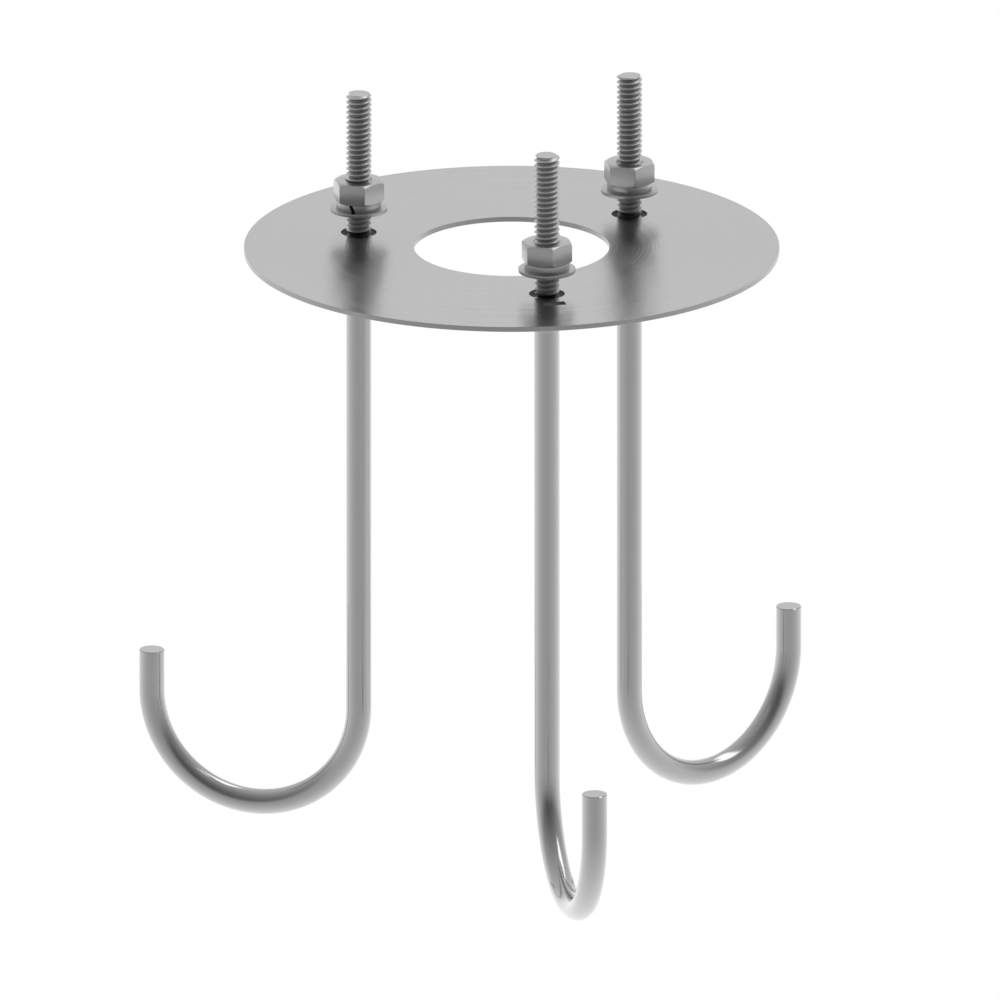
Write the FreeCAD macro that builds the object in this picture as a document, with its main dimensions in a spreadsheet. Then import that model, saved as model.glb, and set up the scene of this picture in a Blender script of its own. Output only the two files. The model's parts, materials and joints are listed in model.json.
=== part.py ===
"""Foundation anchor set: a thin ring plate carrying three hook bolts on one bolt circle.

The set is cast into concrete with its studs standing out of the top, and the base flange of a
post, lamp or bollard is bolted down onto the studs. Millimetres, +Z up along the studs, origin at
the centre of the cable hole in the plate's top face.

Every piece of a station (bolt, nuts, washers) is drawn once in the station's own frame: +Z along
the bolt, +X pointing radially outwards, Z = 0 in the plate's top face. The body's Placement then
carries it out to its place on the bolt circle.
"""

import FreeCAD, Part

import os

import Sketcher

Vector = FreeCAD.Vector

# Driving dimensions: alias, value. Lengths in millimetres, angles in degrees.
SIZES = [
    # ring plate
    ("plate_diameter", 210.0),
    ("plate_thickness", 2.0),
    ("cable_hole_diameter", 76.7),
    ("bolt_circle_diameter", 125.6),
    ("bolt_hole_diameter", 14.0),
    ("bolt_count", 3.0),
    ("plate_edge_break", 0.15),
    ("index_slot_length", 8.5),
    ("index_slot_width", 4.2),
    ("index_slot_radius", 76.2),
    # hook bolt
    ("rod_diameter", 10.0),
    ("stud_height", 57.0),
    ("stud_chamfer", 0.7),
    ("bend_depth", 195.5),
    ("bend_radius", 42.5),
    ("tip_length", 16.0),
    ("tip_chamfer", 0.3),
    # thread on the bolt, and the matching one in the nuts
    ("thread_pitch", 2.1),
    ("thread_start_depth", 12.76),
    ("thread_root_diameter", 7.5),
    ("thread_crest_width", 0.26),
    ("thread_flank_angle", 30.0),
    ("nut_bore_diameter", 8.0),
    ("nut_thread_diameter", 10.16),
    ("flank_clearance", 0.07),
    ("thread_overrun_turns", 1.5),
    # how far a cutting outline reaches past the surface that it cuts
    ("cut_margin", 0.3),
    # hex nut
    ("nut_height", 8.3),
    ("nut_across_flats", 18.0),
    ("nut_chamfer_angle", 30.0),
    ("nut_countersink_diameter", 10.8),
    # washers
    ("flat_washer_gap", 9.25),
    ("flat_washer_diameter", 22.5),
    ("flat_washer_bore", 10.5),
    ("flat_washer_thickness", 1.25),
    ("washer_edge_break", 0.15),
    ("spring_washer_diameter", 17.7),
    ("spring_washer_bore", 10.4),
    ("spring_washer_height", 2.8),
    ("split_width", 1.5),
    ("split_lean", 1.2),
    # direction of each bolt station, seen from above
    ("front_angle", -90.0),
    ("right_angle", 30.0),
    ("left_angle", 150.0),
]

STATIONS = ["front", "right", "left"]

HEX_CORNERS = range(0, 360, 60)  # directions of a nut's corners, degrees
FULL_TURN = 360
SMALLEST_CUT = 0.001  # cubic millimetres that a cut has to take away
SAME_PLACE = 0.0001  # millimetres within which two lengths are the same

# Heights in the station frame, written with the sheet's names.
ROD_RADIUS = "Sizes.rod_diameter / 2"
UPPER_NUT_BASE = "(Sizes.flat_washer_gap + Sizes.flat_washer_thickness + Sizes.spring_washer_height)"
LOWER_NUT_BASE = "(-Sizes.plate_thickness - Sizes.nut_height)"
FLANK_SLOPE = "tan(Sizes.thread_flank_angle * 1deg)"

doc = FreeCAD.newDocument("FoundationAnchorSet")


def make_sheet():
    """The spreadsheet of driving dimensions, one aliased cell each."""
    sheet = doc.addObject("Spreadsheet::Sheet", "Sizes")
    for row, (alias, value) in enumerate(SIZES, start=1):
        sheet.set(f"A{row}", str(value))
        sheet.setAlias(f"A{row}", alias)
    doc.recompute()
    return sheet


def make_body(label):
    """An empty body whose label is also the name of the file it is written to."""
    body = doc.addObject("PartDesign::Body", label)
    body.Label = label
    return body


def origin_plane(body, role):
    """One of the body's own origin planes, such as XY_Plane."""
    return next(plane for plane in body.Origin.OriginFeatures if plane.Role == role)


def make_sketch(body, name, role, height="0"):
    """A sketch on one of the body's origin planes, raised along its normal to the height given."""
    sketch = body.newObject("Sketcher::SketchObject", name)
    sketch.AttachmentSupport = [(origin_plane(body, role), "")]
    sketch.MapMode = "FlatFace"
    sketch.setExpression("AttachmentOffset.Base.z", height)
    return sketch


def value_of(sketch, expression):
    """The number that an expression of the sheet's names comes to now."""
    value = sketch.evalExpression(expression)
    return float(getattr(value, "Value", value))


def pin_point(sketch, line, end, x, y):
    """Ties one end of a line to a place given by two expressions."""
    for kind, expression in (("DistanceX", x), ("DistanceY", y)):
        start = value_of(sketch, expression)
        index = sketch.addConstraint(Sketcher.Constraint(kind, -1, 1, line, end, start))
        sketch.setExpression(f"Constraints[{index}]", expression)


def draw_polygon(sketch, corners):
    """A closed outline of straight lines through corners given as pairs of expressions."""
    points = [Vector(value_of(sketch, x), value_of(sketch, y), 0) for x, y in corners]
    lines = []
    for place, point in enumerate(points):
        following = points[(place + 1) % len(points)]
        lines.append(sketch.addGeometry(Part.LineSegment(point, following)))
    for place, line in enumerate(lines):
        following = lines[(place + 1) % len(lines)]
        sketch.addConstraint(Sketcher.Constraint("Coincident", line, 2, following, 1))
    for line, (x, y) in zip(lines, corners):
        pin_point(sketch, line, 1, x, y)


def draw_circle(sketch, diameter, x="0", y="0"):
    """A circle with its diameter and centre given as expressions."""
    centre = Vector(value_of(sketch, x), value_of(sketch, y), 0)
    size = value_of(sketch, diameter)
    circle = sketch.addGeometry(Part.Circle(centre, Vector(0, 0, 1), size / 2))
    index = sketch.addConstraint(Sketcher.Constraint("Diameter", circle, size))
    sketch.setExpression(f"Constraints[{index}]", diameter)
    pin_point(sketch, circle, 3, x, y)


def add_pad(body, name, sketch, length, reversed_side=False):
    """Material from a sketch, along its normal or the other way."""
    pad = body.newObject("PartDesign::Pad", name)
    pad.Profile = sketch
    pad.setExpression("Length", length)
    pad.Reversed = reversed_side
    doc.recompute()
    return pad


def check_cut(body, cut, before, name):
    """Stops the build if a cut took nothing away."""
    if body.Shape.Volume >= before - SMALLEST_CUT:
        raise RuntimeError(f"{name} in {body.Label} removes no material")
    return cut


def add_pocket(body, name, sketch, length=None, reversed_side=False):
    """A pocket of the given length, or right through both ways when no length is given."""
    before = body.Shape.Volume
    pocket = body.newObject("PartDesign::Pocket", name)
    pocket.Profile = sketch
    if length is None:
        pocket.Type = "ThroughAll"
        pocket.Midplane = True
    else:
        pocket.setExpression("Length", length)
        pocket.Reversed = reversed_side
    doc.recompute()
    return check_cut(body, pocket, before, name)


def add_revolved(body, kind, name, sketch):
    """A full turn of a sketch about its own vertical axis: Revolution adds, Groove cuts."""
    before = body.Shape.Volume if kind == "Groove" else None
    feature = body.newObject(f"PartDesign::{kind}", name)
    feature.Profile = sketch
    feature.ReferenceAxis = (sketch, ["V_Axis"])
    feature.Angle = FULL_TURN
    doc.recompute()
    return feature if before is None else check_cut(body, feature, before, name)


def add_helix_cut(body, name, sketch, height):
    """Cuts a right-hand screw groove: the sketch carried up a helix about its vertical axis."""
    before = body.Shape.Volume
    groove = body.newObject("PartDesign::SubtractiveHelix", name)
    groove.Profile = sketch
    groove.ReferenceAxis = (sketch, ["V_Axis"])
    groove.Mode = "pitch-height-angle"
    groove.setExpression("Pitch", "Sizes.thread_pitch")
    groove.setExpression("Height", height)
    groove.LeftHanded = False
    doc.recompute()
    return check_cut(body, groove, before, name)


def round_edges(shape, radius, height):
    """Names of the circular edges of one radius that lie at one height."""
    names = []
    for number, edge in enumerate(shape.Edges, start=1):
        curve = edge.Curve
        if curve.TypeId != "Part::GeomCircle":
            continue
        radius_off = abs(curve.Radius - radius)
        height_off = abs(curve.Center.z - height)
        if max(radius_off, height_off) < SAME_PLACE:
            names.append(f"Edge{number}")
    return names


def add_chamfer(body, name, edges, size):
    """Breaks the named edges of the body's latest feature."""
    base = body.Tip
    if not edges:
        raise RuntimeError(f"{name} in {body.Label} finds no edge")
    chamfer = body.newObject("PartDesign::Chamfer", name)
    chamfer.Base = (base, edges)
    chamfer.setExpression("Size", size)
    doc.recompute()
    return chamfer


def place_at_station(body, station):
    """Moves a piece drawn in the station frame out to its place on the bolt circle."""
    reach = "Sizes.bolt_circle_diameter / 2"
    angle = f"Sizes.{station}_angle"
    body.setExpression(
        "Placement",
        f"placement(vector({reach} * cos({angle} * 1deg); {reach} * sin({angle} * 1deg); 0); "
        f"rotation(vector(0; 0; 1); {angle}))",
    )


def make_ring_plate(sheet):
    """Thin disc with a cable hole, three clearance holes for the bolts and one small index slot."""
    body = make_body("ring_plate")
    disc = make_sketch(body, "plate_outline", "XY_Plane")
    draw_circle(disc, "Sizes.plate_diameter")
    draw_circle(disc, "Sizes.cable_hole_diameter")
    add_pad(body, "plate_disc", disc, "Sizes.plate_thickness", reversed_side=True)

    rims = []
    for radius in (sheet.plate_diameter / 2, sheet.cable_hole_diameter / 2):
        for height in (0, -sheet.plate_thickness):
            rims += round_edges(body.Shape, radius, height)
    add_chamfer(body, "plate_edges", rims, "Sizes.plate_edge_break")

    hole = make_sketch(body, "bolt_hole_outline", "XY_Plane")
    reach = "Sizes.bolt_circle_diameter / 2"
    front = "Sizes.front_angle * 1deg"
    draw_circle(hole, "Sizes.bolt_hole_diameter", f"{reach} * cos({front})", f"{reach} * sin({front})")
    pocket = add_pocket(body, "bolt_hole", hole)
    holes = body.newObject("PartDesign::PolarPattern", "bolt_holes")
    holes.Originals = [pocket]
    holes.Axis = (hole, ["N_Axis"])
    holes.Angle = FULL_TURN
    holes.setExpression("Occurrences", "Sizes.bolt_count")
    body.Tip = holes
    doc.recompute()

    slot = make_sketch(body, "index_slot_outline", "XY_Plane")
    half = "Sizes.index_slot_length / 2"
    outer = "-Sizes.index_slot_radius - Sizes.index_slot_width / 2"
    inner = "-Sizes.index_slot_radius + Sizes.index_slot_width / 2"
    draw_polygon(slot, [(f"-{half}", outer), (half, outer), (half, inner), (f"-{half}", inner)])
    add_pocket(body, "index_slot", slot)
    return body


def thread_outline(sketch, centre, inner, outer, surface_half, side):
    """Trapezoid with its flanks on the thread's own lines.

    It is surface_half each way from its centre at the rod's surface. Further out it widens when
    side is "+", as the gap between two ridges does, and narrows when side is "-", as a ridge does.
    """

    def half(radius):
        return f"({surface_half} {side} ({radius} - {ROD_RADIUS}) * {FLANK_SLOPE})"

    draw_polygon(
        sketch,
        [
            (inner, f"{centre} - {half(inner)}"),
            (outer, f"{centre} - {half(outer)}"),
            (outer, f"{centre} + {half(outer)}"),
            (inner, f"{centre} + {half(inner)}"),
        ],
    )


def make_hook_bolt(station):
    """Round rod, threaded at the top and bent through half a turn at the bottom."""
    body = make_body(f"hook_bolt_{station}")
    shank = make_sketch(body, f"shank_profile_{station}", "XZ_Plane")
    draw_polygon(
        shank,
        [
            ("0", "-Sizes.bend_depth"),
            (ROD_RADIUS, "-Sizes.bend_depth"),
            (ROD_RADIUS, "Sizes.stud_height - Sizes.stud_chamfer"),
            (f"{ROD_RADIUS} - Sizes.stud_chamfer", "Sizes.stud_height"),
            ("0", "Sizes.stud_height"),
        ],
    )
    add_revolved(body, "Revolution", f"shank_{station}", shank)

    bend = make_sketch(body, f"bend_path_{station}", "XZ_Plane")
    radius = value_of(bend, "Sizes.bend_radius")
    depth = value_of(bend, "Sizes.bend_depth")
    tip = value_of(bend, "Sizes.tip_length")
    circle = Part.Circle(Vector(radius, -depth, 0), Vector(0, 0, 1), radius)
    half_turn = FreeCAD.Units.Quantity("180 deg").getValueAs("rad").Value
    arc = bend.addGeometry(Part.ArcOfCircle(circle, half_turn, 2 * half_turn))
    rise = bend.addGeometry(
        Part.LineSegment(Vector(2 * radius, -depth, 0), Vector(2 * radius, tip - depth, 0))
    )
    bend.addConstraint(Sketcher.Constraint("Tangent", arc, 2, rise, 1))
    pin_point(bend, arc, 3, "Sizes.bend_radius", "-Sizes.bend_depth")
    pin_point(bend, arc, 1, "0", "-Sizes.bend_depth")
    pin_point(bend, rise, 2, "2 * Sizes.bend_radius", "Sizes.tip_length - Sizes.bend_depth")
    section = make_sketch(body, f"rod_section_{station}", "XY_Plane", "-Sizes.bend_depth")
    draw_circle(section, "Sizes.rod_diameter")
    hook = body.newObject("PartDesign::AdditivePipe", f"hook_{station}")
    hook.Profile = section
    hook.Spine = bend
    doc.recompute()

    ends = round_edges(body.Shape, value_of(bend, ROD_RADIUS), tip - depth)
    add_chamfer(body, f"tip_edge_{station}", ends, "Sizes.tip_chamfer")

    groove = make_sketch(body, f"thread_groove_{station}", "XZ_Plane")
    thread_outline(
        groove,
        centre="-Sizes.thread_start_depth",
        inner="Sizes.thread_root_diameter / 2",
        outer=f"({ROD_RADIUS} + Sizes.cut_margin)",
        surface_half="(Sizes.thread_pitch - Sizes.thread_crest_width) / 2",
        side="+",
    )
    overrun = "Sizes.thread_overrun_turns * Sizes.thread_pitch"
    run = f"Sizes.stud_height + Sizes.thread_start_depth + {overrun}"
    add_helix_cut(body, f"thread_{station}", groove, run)
    place_at_station(body, station)
    return body


def make_nut(label, base, station):
    """Hex nut, chamfered at both ends, with a right-hand thread that clears the bolt's."""
    body = make_body(label)
    hexagon = make_sketch(body, f"{label}_outline", "XY_Plane", base)
    corner_reach = "Sizes.nut_across_flats / 2 / cos(30deg)"
    corners = []
    for turn in HEX_CORNERS:
        corners.append((f"{corner_reach} * cos({turn}deg)", f"{corner_reach} * sin({turn}deg)"))
    draw_polygon(hexagon, corners)
    add_pad(body, f"{label}_blank", hexagon, "Sizes.nut_height")

    turned = make_sketch(body, f"{label}_turned_profile", "XZ_Plane")
    top = f"{base} + Sizes.nut_height"
    flat = "Sizes.nut_across_flats / 2"
    past = f"({corner_reach} + Sizes.cut_margin)"
    drop = f"({past} - {flat}) * tan(Sizes.nut_chamfer_angle * 1deg)"
    bore = "Sizes.nut_bore_diameter / 2"
    sink = "Sizes.nut_countersink_diameter / 2"
    draw_polygon(turned, [(flat, top), (past, top), (past, f"{top} - {drop}")])
    draw_polygon(turned, [(flat, base), (past, f"{base} + {drop}"), (past, base)])
    draw_polygon(
        turned,
        [
            ("0", base),
            (sink, base),
            (bore, f"{base} + {sink} - {bore}"),
            (bore, f"{top} - {sink} + {bore}"),
            (sink, top),
            ("0", top),
        ],
    )
    add_revolved(body, "Groove", f"{label}_turned", turned)

    groove = make_sketch(body, f"{label}_thread_groove", "XZ_Plane")
    ridge = "(Sizes.thread_pitch / 2 - Sizes.thread_start_depth)"
    whole_turns = f"(floor(({base} - {ridge}) / Sizes.thread_pitch) - 1)"
    thread_outline(
        groove,
        centre=f"({ridge} + {whole_turns} * Sizes.thread_pitch)",
        inner="(Sizes.nut_bore_diameter / 2 - Sizes.cut_margin)",
        outer="Sizes.nut_thread_diameter / 2",
        surface_half="(Sizes.thread_crest_width / 2 + Sizes.flank_clearance)",
        side="-",
    )
    overrun = "2 * Sizes.thread_overrun_turns * Sizes.thread_pitch"
    add_helix_cut(body, f"{label}_thread", groove, f"Sizes.nut_height + {overrun}")
    place_at_station(body, station)
    return body


def make_flat_washer(station):
    """Wide thin washer."""
    label = f"flat_washer_{station}"
    body = make_body(label)
    ring = make_sketch(body, f"{label}_outline", "XY_Plane", "Sizes.flat_washer_gap")
    draw_circle(ring, "Sizes.flat_washer_diameter")
    draw_circle(ring, "Sizes.flat_washer_bore")
    add_pad(body, f"{label}_blank", ring, "Sizes.flat_washer_thickness")
    radius = value_of(ring, "Sizes.flat_washer_diameter / 2")
    low = value_of(ring, "Sizes.flat_washer_gap")
    high = value_of(ring, "Sizes.flat_washer_gap + Sizes.flat_washer_thickness")
    rims = round_edges(body.Shape, radius, low) + round_edges(body.Shape, radius, high)
    add_chamfer(body, f"{label}_edges", rims, "Sizes.washer_edge_break")
    place_at_station(body, station)
    return body


def make_spring_washer(station):
    """Thick ring, cut through once by a leaning split a quarter turn round from outwards."""
    label = f"spring_washer_{station}"
    body = make_body(label)
    base = "(Sizes.flat_washer_gap + Sizes.flat_washer_thickness)"
    ring = make_sketch(body, f"{label}_outline", "XY_Plane", base)
    draw_circle(ring, "Sizes.spring_washer_diameter")
    draw_circle(ring, "Sizes.spring_washer_bore")
    add_pad(body, f"{label}_blank", ring, "Sizes.spring_washer_height")
    split = make_sketch(body, f"{label}_split_outline", "XZ_Plane")
    top = f"{base} + Sizes.spring_washer_height"
    half = "Sizes.split_width / 2"
    lean = "Sizes.split_lean / 2"
    draw_polygon(
        split,
        [
            (f"-{half} - {lean}", base),
            (f"{half} - {lean}", base),
            (f"{half} + {lean}", top),
            (f"-{half} + {lean}", top),
        ],
    )
    add_pocket(body, f"{label}_split", split, "Sizes.spring_washer_diameter", reversed_side=False)
    place_at_station(body, station)
    return body


def check_document():
    """Stops the build if any object failed or any body is not one valid solid."""
    for item in doc.Objects:
        if "Invalid" in item.State or "Error" in item.State:
            raise RuntimeError(f"{item.Label}: {item.State}")
    for body in doc.findObjects("PartDesign::Body"):
        shape = body.Shape
        if shape.isNull() or not shape.isValid() or len(shape.Solids) != 1:
            raise RuntimeError(f"{body.Label} is not one valid solid")


def write_parts():
    """Writes each body to parts/LABEL.step and prints its volume."""
    os.makedirs("parts", exist_ok=True)
    for body in doc.findObjects("PartDesign::Body"):
        body.Shape.exportStep(f"parts/{body.Label}.step")
        print(f"{body.Label}: {body.Shape.Volume:.1f} mm3")


sizes = make_sheet()
make_ring_plate(sizes)
for station in STATIONS:
    make_hook_bolt(station)
    make_nut(f"lower_nut_{station}", LOWER_NUT_BASE, station)
    make_flat_washer(station)
    make_spring_washer(station)
    make_nut(f"upper_nut_{station}", UPPER_NUT_BASE, station)
doc.recompute()
check_document()
write_parts()
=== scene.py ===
# %% [markdown]
# # A foundation anchor set
#
# Three long rods with hooked feet hang from a thin steel ring. Each rod carries a nut under the
# ring, and a flat washer, a split washer and a nut on the stud that stands out of the top. The
# set is cast into concrete, and a lamp post or bollard is later bolted onto the studs.
#
# The engineering model fixes every place and size. This lesson builds the visible skin of each
# piece in the same frame, in metres, out of surfaces worked out as whole numpy arrays. The
# engineering model comes in first, so that every later step can measure it.

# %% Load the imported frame
import json
import math

import bmesh
import bpy
import numpy as np
from mathutils import Matrix, Vector


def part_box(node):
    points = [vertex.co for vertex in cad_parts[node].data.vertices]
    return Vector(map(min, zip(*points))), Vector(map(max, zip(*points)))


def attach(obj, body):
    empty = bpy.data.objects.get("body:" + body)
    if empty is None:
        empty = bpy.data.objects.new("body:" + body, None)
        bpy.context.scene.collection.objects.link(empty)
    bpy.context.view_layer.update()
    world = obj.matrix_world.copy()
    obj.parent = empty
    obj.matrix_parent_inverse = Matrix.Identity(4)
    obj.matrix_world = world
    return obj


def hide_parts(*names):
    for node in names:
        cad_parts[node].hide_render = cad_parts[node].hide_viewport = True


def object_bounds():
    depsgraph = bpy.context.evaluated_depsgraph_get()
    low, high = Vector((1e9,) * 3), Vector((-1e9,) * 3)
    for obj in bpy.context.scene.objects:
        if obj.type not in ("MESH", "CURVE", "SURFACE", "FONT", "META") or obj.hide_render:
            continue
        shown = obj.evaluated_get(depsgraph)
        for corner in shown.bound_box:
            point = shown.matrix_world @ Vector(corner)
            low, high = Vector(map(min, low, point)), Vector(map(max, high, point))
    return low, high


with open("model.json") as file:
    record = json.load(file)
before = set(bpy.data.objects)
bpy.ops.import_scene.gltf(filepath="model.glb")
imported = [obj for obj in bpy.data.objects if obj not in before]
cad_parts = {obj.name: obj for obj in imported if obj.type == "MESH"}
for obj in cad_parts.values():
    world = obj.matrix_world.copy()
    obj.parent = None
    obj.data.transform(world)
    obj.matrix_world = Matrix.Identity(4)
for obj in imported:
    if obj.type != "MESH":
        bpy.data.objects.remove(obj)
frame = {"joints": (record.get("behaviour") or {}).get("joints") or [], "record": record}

MM = 0.001
cad_low, cad_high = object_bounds()
print("engineering box, metres:", [round(v, 4) for v in (*cad_low, *cad_high)])

# %% [markdown]
# ## Where the three stations stand
#
# Each rod stands on one circle round the cable hole. Its swivel joint in the frame gives its
# place, so the direction of each station is read from there rather than typed in. A piece is
# drawn once about its own upright axis, with its first direction pointing away from the middle
# of the ring, and is then carried out to its station.

# %% Stations
mounts = {mount["name"]: mount for mount in frame["record"]["mounts"]}
STATION_REACH = mounts["studs"]["dims"]["pcd_mm"] / 2 * MM
ROD_RADIUS = mounts["studs"]["dims"]["stud_r_mm"] * MM

SWIVEL = "hook_swivel_"
STATIONS = {}
for joint in frame["joints"]:
    if joint["name"].startswith(SWIVEL):
        x, y, _ = joint["pos_m"]
        whole_degrees = round(math.degrees(math.atan2(y, x)))
        STATIONS[joint["name"].removeprefix(SWIVEL)] = math.radians(whole_degrees)


def carry_out(points, direction):
    """Moves points out by the stations' reach along +X, then turns them about Z to a direction."""
    c, s = math.cos(direction), math.sin(direction)
    turn = np.array([[c, -s, 0], [s, c, 0], [0, 0, 1]])
    return (points + [STATION_REACH, 0, 0]) @ turn.T


print({name: round(math.degrees(angle)) for name, angle in STATIONS.items()})

# %% [markdown]
# ## The camera
#
# A long lens from far away keeps upright rods parallel, so an orthographic camera is the plain
# way to show this object. It looks a little down onto the ring, from a little to one side.

# %% Camera
LOOK_FROM = math.radians(-12.7)
LOOK_DOWN = math.radians(17.56)
VIEW_WIDTH = 0.39216  # metres from edge to edge of the view
CAMERA_DISTANCE = 2.0
RING_OFF_CENTRE = (0.004588, 0.09945)  # how far right of and above the view's middle it lies

lift, level = math.sin(LOOK_DOWN), math.cos(LOOK_DOWN)
view_right = Vector((math.cos(LOOK_FROM), math.sin(LOOK_FROM), 0))
view_back = Vector((math.sin(LOOK_FROM) * level, -math.cos(LOOK_FROM) * level, lift))
view_up = view_back.cross(view_right)

camera = bpy.data.objects.new("camera", bpy.data.cameras.new("camera"))
camera.data.type = "ORTHO"
camera.data.ortho_scale = VIEW_WIDTH
stand = view_back * CAMERA_DISTANCE
stand -= view_right * RING_OFF_CENTRE[0] + view_up * RING_OFF_CENTRE[1]
turned = Matrix((view_right, view_up, view_back)).transposed().to_4x4()
camera.matrix_world = Matrix.Translation(stand) @ turned
bpy.context.scene.collection.objects.link(camera)
bpy.context.scene.camera = camera
bpy.context.scene.view_settings.view_transform = "Standard"
print("camera stands at", [round(v, 3) for v in stand])

# %% [markdown]
# ## A small kit for node trees
#
# Every finish below is a tree of shader nodes. These helpers add one node with its settings and
# values, or a step of arithmetic, so that the trees read like short sums. A group's inputs and
# outputs are made through its interface.


# %% Node helpers
def add_node(tree, kind, values=None, **settings):
    """One node of a kind; settings are its properties, values its sockets or what feeds them."""
    node = tree.nodes.new(kind)
    for name, value in settings.items():
        setattr(node, name, value)
    for socket, value in (values or {}).items():
        if isinstance(value, bpy.types.NodeSocket):
            tree.links.new(value, node.inputs[socket])
        else:
            node.inputs[socket].default_value = value
    return node


def sum_node(tree, operation, *values, clamp=False):
    """An arithmetic node; gives its output socket."""
    fed = dict(enumerate(values))
    return add_node(tree, "ShaderNodeMath", fed, operation=operation, use_clamp=clamp).outputs[0]


def vector_node(tree, operation, *values, output="Vector"):
    """An arithmetic node for vectors; gives its output socket."""
    fed = dict(enumerate(values))
    return add_node(tree, "ShaderNodeVectorMath", fed, operation=operation).outputs[output]


def soft_step(tree, value, start, end, before=0.0, after=1.0):
    """A soft curve from before, at start, to after, at end; gives its output socket."""
    fed = {"Value": value, "From Min": start, "From Max": end, "To Min": before, "To Max": after}
    return add_node(tree, "ShaderNodeMapRange", fed, interpolation_type="SMOOTHSTEP").outputs[0]


def from_axis(tree, place):
    """A place's three numbers as sockets, and its distance from the upright axis."""
    apart = add_node(tree, "ShaderNodeSeparateXYZ", {0: place}).outputs
    flat = add_node(tree, "ShaderNodeCombineXYZ", {0: apart["X"], 1: apart["Y"]}).outputs[0]
    return apart, vector_node(tree, "LENGTH", flat, output="Value")


def new_group(name, inputs, outputs):
    """An empty node group; inputs and outputs map a socket's name to its kind and start value."""
    tree = bpy.data.node_groups.new(name, "ShaderNodeTree")
    for in_out, sockets in (("INPUT", inputs), ("OUTPUT", outputs)):
        for socket, (kind, start) in sockets.items():
            made = tree.interface.new_socket(socket, in_out=in_out, socket_type=kind)
            if start is not None:
                made.default_value = start
    return tree, tree.nodes.new("NodeGroupInput").outputs, tree.nodes.new("NodeGroupOutput").inputs


FLOAT, VECTOR, COLOUR = "NodeSocketFloat", "NodeSocketVector", "NodeSocketColor"

# %% [markdown]
# ## The light
#
# Bare steel shows almost nothing of its own colour: it shows the room. The room here is a soft
# studio. The ground and the wall behind are bright, the side of the room behind the camera is
# dim, and the ceiling fades from dim in front to bright at the back. One wide lamp with a soft edge
# hangs high on the right, a little behind the object. All of that is one smooth function of
# direction, so it goes into the world's nodes. Where the camera looks past the object it sees
# plain white.

# %% Studio light
GROUND = (0.93, -0.48, 0.115)  # brightness from the ground: constant, towards front, its square
GROUND_DEPTH = 0.3  # how much brighter it is straight below
CEILING = (0.58, -0.45)  # brightness from the ceiling: constant, towards front
CEILING_DIMMEST = 0.15  # the ceiling gets no dimmer than this in front
HORIZON = (-0.10, 0.40)  # where ground turns into ceiling, as height of a unit direction
LAMP_AROUND = math.radians(122)  # from the camera's side round to the right
LAMP_RISE = math.radians(62)  # above the horizon
LAMP_HALF = (math.radians(36), math.radians(12))  # half its width and height
LAMP_FULL = 0.45  # share of the ellipse inside which the lamp is fully bright
LAMP_BRIGHTNESS = 1.9

world = bpy.data.worlds.new("studio")
world.use_nodes = True
bpy.context.scene.world = world
room = world.node_tree
room.nodes.clear()
direction = room.nodes.new("ShaderNodeTexCoord").outputs["Generated"]
front = Vector((view_back.x, view_back.y, 0)).normalized()
frontness = vector_node(room, "DOT_PRODUCT", direction, front, output="Value")
height = add_node(room, "ShaderNodeSeparateXYZ", {0: direction}).outputs["Z"]
square = sum_node(room, "MULTIPLY", frontness, frontness)
ground = sum_node(room, "MULTIPLY_ADD", frontness, GROUND[1], GROUND[0])
ground = sum_node(room, "MULTIPLY_ADD", square, GROUND[2], ground)
below = sum_node(room, "MULTIPLY", height, -1.0, clamp=True)
ground = sum_node(room, "MULTIPLY_ADD", below, GROUND_DEPTH, ground)
ceiling = sum_node(room, "MULTIPLY_ADD", frontness, CEILING[1], CEILING[0])
ceiling = sum_node(room, "MAXIMUM", ceiling, CEILING_DIMMEST)
above = soft_step(room, height, *HORIZON)
brightness = add_node(room, "ShaderNodeMix", {0: above, 2: ground, 3: ceiling}).outputs[0]

# The lamp is an ellipse of directions: their shares along its width and its height, squared.
azimuth = LOOK_FROM - math.pi / 2 + LAMP_AROUND
lamp_width = Vector((-math.sin(azimuth), math.cos(azimuth), 0))
lamp_middle = Vector((math.cos(azimuth), math.sin(azimuth), math.tan(LAMP_RISE))).normalized()
shares = []
for along, half in ((lamp_width, LAMP_HALF[0]), (lamp_middle.cross(lamp_width), LAMP_HALF[1])):
    share = vector_node(room, "DOT_PRODUCT", direction, along / math.sin(half), output="Value")
    shares.append(sum_node(room, "MULTIPLY", share, share))
off_middle = sum_node(room, "ADD", *shares)
lamp = soft_step(room, off_middle, 1.0, LAMP_FULL, after=LAMP_BRIGHTNESS)
facing = vector_node(room, "DOT_PRODUCT", direction, lamp_middle, output="Value")
facing = sum_node(room, "GREATER_THAN", facing, 0.0)
brightness = sum_node(room, "MULTIPLY_ADD", lamp, facing, brightness)
studio = add_node(room, "ShaderNodeBackground", {"Strength": brightness}).outputs[0]
plain = add_node(room, "ShaderNodeBackground", {"Color": (1, 1, 1, 1)}).outputs[0]
seen = room.nodes.new("ShaderNodeLightPath").outputs["Is Camera Ray"]
shown = add_node(room, "ShaderNodeMixShader", {0: seen, 1: studio, 2: plain}).outputs[0]
add_node(room, "ShaderNodeOutputWorld", {"Surface": shown})
print("studio nodes:", len(room.nodes))

# %% [markdown]
# ## The floor
#
# The set stands on the bottoms of its hooks on a plain white floor. The floor glows evenly, so no
# shadow shows on it. It only has to be seen, since the world's nodes already give its light.

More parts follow.
